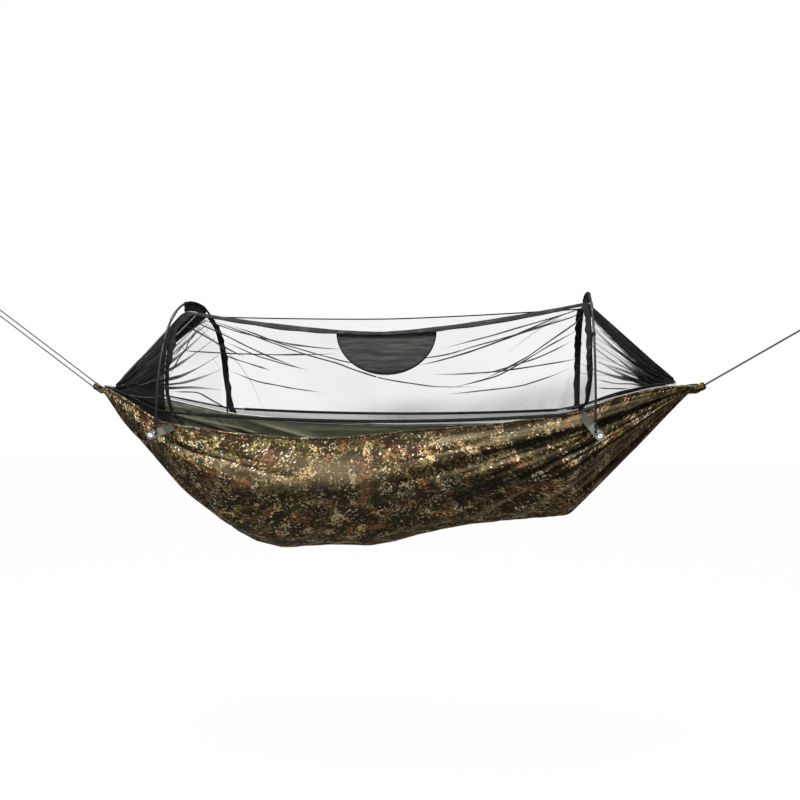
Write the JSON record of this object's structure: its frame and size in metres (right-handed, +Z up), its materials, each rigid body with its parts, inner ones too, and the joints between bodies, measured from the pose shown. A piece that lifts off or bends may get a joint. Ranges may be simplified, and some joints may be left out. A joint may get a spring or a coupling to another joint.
{
  "type": "hammock tent",
  "caption": "Gathered-end camouflage hammock with a zipped mosquito net that two bowed poles hold open, hung on ropes with carabiners.",
  "frame": {"origin": "head anchor: the point inside the head carabiner's outer bow where the tree strap bears", "axes": "+X along the hammock from its head end to its foot end, +Y to its far side, +Z up"},
  "size_m": [3.4942, 0.8494, 1.0683],
  "materials": {
    "camouflage_nylon": null,
    "black_net": "fine black mosquito mesh, see-through",
    "black_cloth": "matt black polyester tape and sleeve cloth",
    "pocket_cloth": "dark grey-green cloth with soft wrinkles",
    "grey_webbing": "olive-grey reinforced cloth",
    "dark_rope": "dark braided cord",
    "zip_tape": "black woven tape with a nylon coil",
    "zip_metal": "black painted",
    "pole_black": "black glass-fibre rod, satin",
    "ferrule_metal": "dull metal tube",
    "eyelet_metal": "plated eyelet, lightly worn",
    "black_plastic": "moulded, matt",
    "grey_alloy": "anodised grey, satin"
  },
  "bodies": {
    "hammock": {"hammock_bed": "camouflage_nylon", "near_hem": "camouflage_nylon", "far_hem": "camouflage_nylon", "head_end_channel": "camouflage_nylon", "foot_end_channel": "camouflage_nylon", "head_rope": "dark_rope", "foot_rope": "dark_rope", "head_carabiner": "grey_alloy", "foot_carabiner": "grey_alloy", "net_canopy": "black_net", "near_roof_seam": "black_cloth", "far_roof_seam": "black_cloth", "near_zip": "zip_tape", "far_zip": "zip_tape", "pocket_front": "pocket_cloth", "pocket_back": "pocket_cloth", "pocket_binding": "black_cloth", "head_near_band": "black_cloth", "head_far_band": "black_cloth", "foot_near_band": "black_cloth", "foot_far_band": "black_cloth", "head_near_patch": "grey_webbing", "head_far_patch": "grey_webbing", "foot_near_patch": "grey_webbing", "foot_far_patch": "grey_webbing", "head_near_eyelet": "eyelet_metal", "head_far_eyelet": "eyelet_metal", "foot_near_eyelet": "eyelet_metal", "foot_far_eyelet": "eyelet_metal", "head_near_spare_eyelet": "eyelet_metal", "head_far_spare_eyelet": "eyelet_metal", "foot_near_spare_eyelet": "eyelet_metal", "foot_far_spare_eyelet": "eyelet_metal"},
    "head_hoop": {"head_near_pole": "pole_black", "head_crown_pole": "pole_black", "head_far_pole": "pole_black", "head_near_ferrule": "ferrule_metal", "head_far_ferrule": "ferrule_metal", "head_near_tip": "black_plastic", "head_far_tip": "black_plastic", "head_crown_sleeve": "black_cloth", "head_near_loop": "black_cloth", "head_far_loop": "black_cloth"},
    "foot_hoop": {"foot_near_pole": "pole_black", "foot_crown_pole": "pole_black", "foot_far_pole": "pole_black", "foot_near_ferrule": "ferrule_metal", "foot_far_ferrule": "ferrule_metal", "foot_near_tip": "black_plastic", "foot_far_tip": "black_plastic", "foot_crown_sleeve": "black_cloth", "foot_near_loop": "black_cloth", "foot_far_loop": "black_cloth"},
    "near_slider": {"near_zip_slider": "zip_metal"},
    "near_pull": {"near_zip_pull": "zip_metal"},
    "far_slider": {"far_zip_slider": "zip_metal"},
    "far_pull": {"far_zip_pull": "zip_metal"},
    "head_gate_body": {"head_gate": "grey_alloy"},
    "foot_gate_body": {"foot_gate": "grey_alloy"}
  },
  "joints": [
    {"name": "head_hoop_fold", "type": "hinge", "parent": "hammock", "child": "head_hoop", "pos_m": [0.99251, 0, -0.57712], "axis": [0, 1, 0], "range_deg": [0, 30], "deforming": ["net_canopy", "near_roof_seam", "far_roof_seam", "pocket_front", "pocket_back", "pocket_binding", "head_near_band", "head_far_band", "foot_near_band", "foot_far_band"]},
    {"name": "foot_hoop_fold", "type": "hinge", "parent": "hammock", "child": "foot_hoop", "pos_m": [2.56251, 0, -0.56312], "axis": [0, 1, 0], "range_deg": [-30, 0]},
    {"name": "near_zip_travel", "type": "hinge", "parent": "hammock", "child": "near_slider", "pos_m": [1.77751, -0.345, 8.48463], "axis": [0, -1, 0], "range_deg": [0, 8.3]},
    {"name": "near_pull_turn", "type": "hinge", "parent": "near_slider", "child": "near_pull", "pos_m": [1.11751, -0.35495, -0.50993], "axis": [-0.0732, 0, -0.9973], "range_deg": [0, 150]},
    {"name": "far_zip_travel", "type": "hinge", "parent": "hammock", "child": "far_slider", "pos_m": [1.77751, 0.345, 12.99151], "axis": [0, -1, 0], "range_deg": [0, 5.5]},
    {"name": "far_pull_turn", "type": "hinge", "parent": "far_slider", "child": "far_pull", "pos_m": [1.11751, 0.35495, -0.50799], "axis": [0.0488, 0, 0.9988], "range_deg": [0, 150]},
    {"name": "head_gate_swing", "type": "hinge", "parent": "hammock", "child": "head_gate_body", "pos_m": [0.04623, 0.019, -0.03334], "axis": [0.585, 0, 0.8111], "range_deg": [0, 28], "stiffness_Nm_per_rad": 0.05, "springref_deg": -17.19},
    {"name": "foot_gate_swing", "type": "hinge", "parent": "hammock", "child": "foot_gate_body", "pos_m": [3.41096, 0, -0.13768], "axis": [0, 1, 0], "range_deg": [0, 28], "stiffness_Nm_per_rad": 0.05, "springref_deg": -17.19}
  ],
  "couplings": [
    {"joint": "foot_hoop_fold", "follows": "head_hoop_fold", "ratio": -1}
  ]
}
